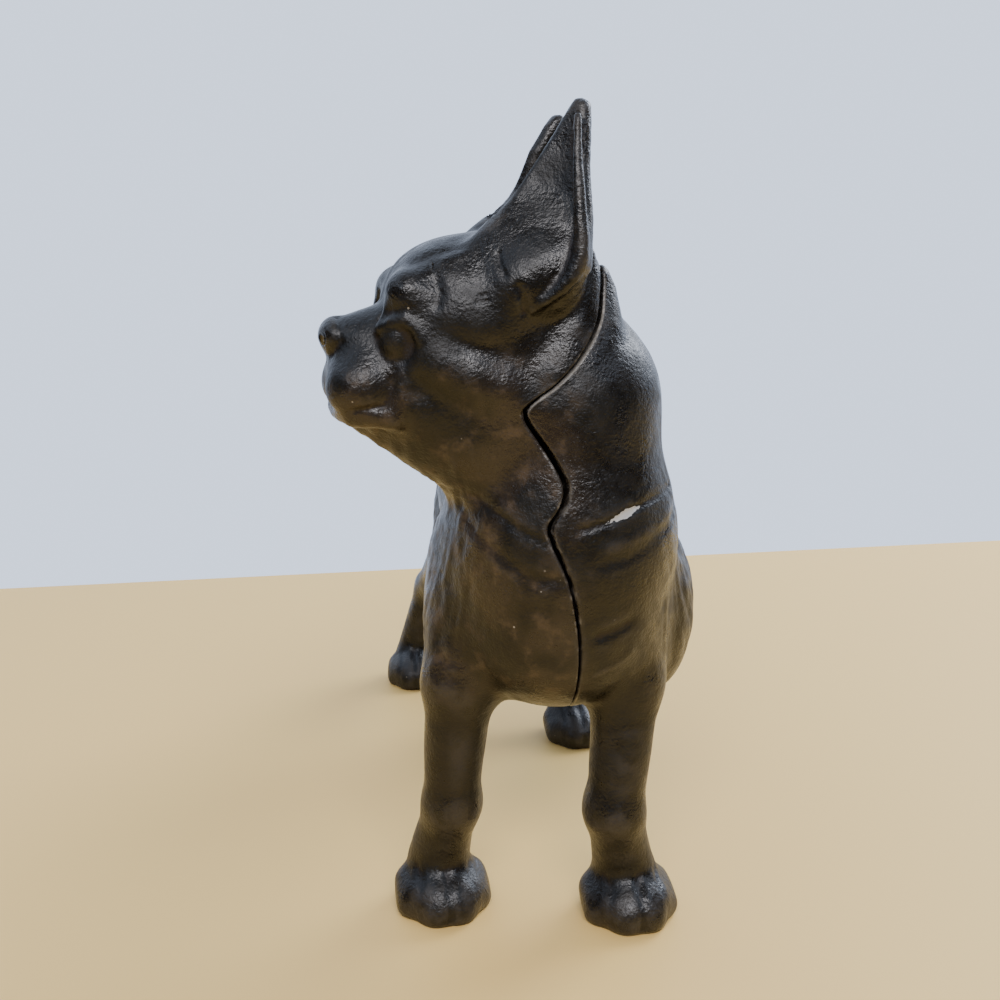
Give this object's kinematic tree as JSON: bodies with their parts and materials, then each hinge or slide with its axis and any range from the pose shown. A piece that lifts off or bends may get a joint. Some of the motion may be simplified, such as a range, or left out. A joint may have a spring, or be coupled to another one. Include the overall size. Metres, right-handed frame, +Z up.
{
  "type": "dog statue",
  "caption": "Standing cast-iron terrier figure with pricked ears, its head turned to its right; cast in halves that meet along a wavy parting line; stands on its own paws.",
  "frame": {"origin": "middle of the footprint, on the floor the paws stand on", "axes": "+Z up; the chest faces -Y; the dog's left side is +X and its head is turned to its right, towards -X"},
  "size_m": [0.1194, 0.2517, 0.2474],
  "materials": {
    "black_paint": "old black paint over cast iron, worn to a dull sheen"
  },
  "bodies": {
    "root": {"right_half": "black_paint", "left_half": "black_paint"}
  },
  "joints": []
}
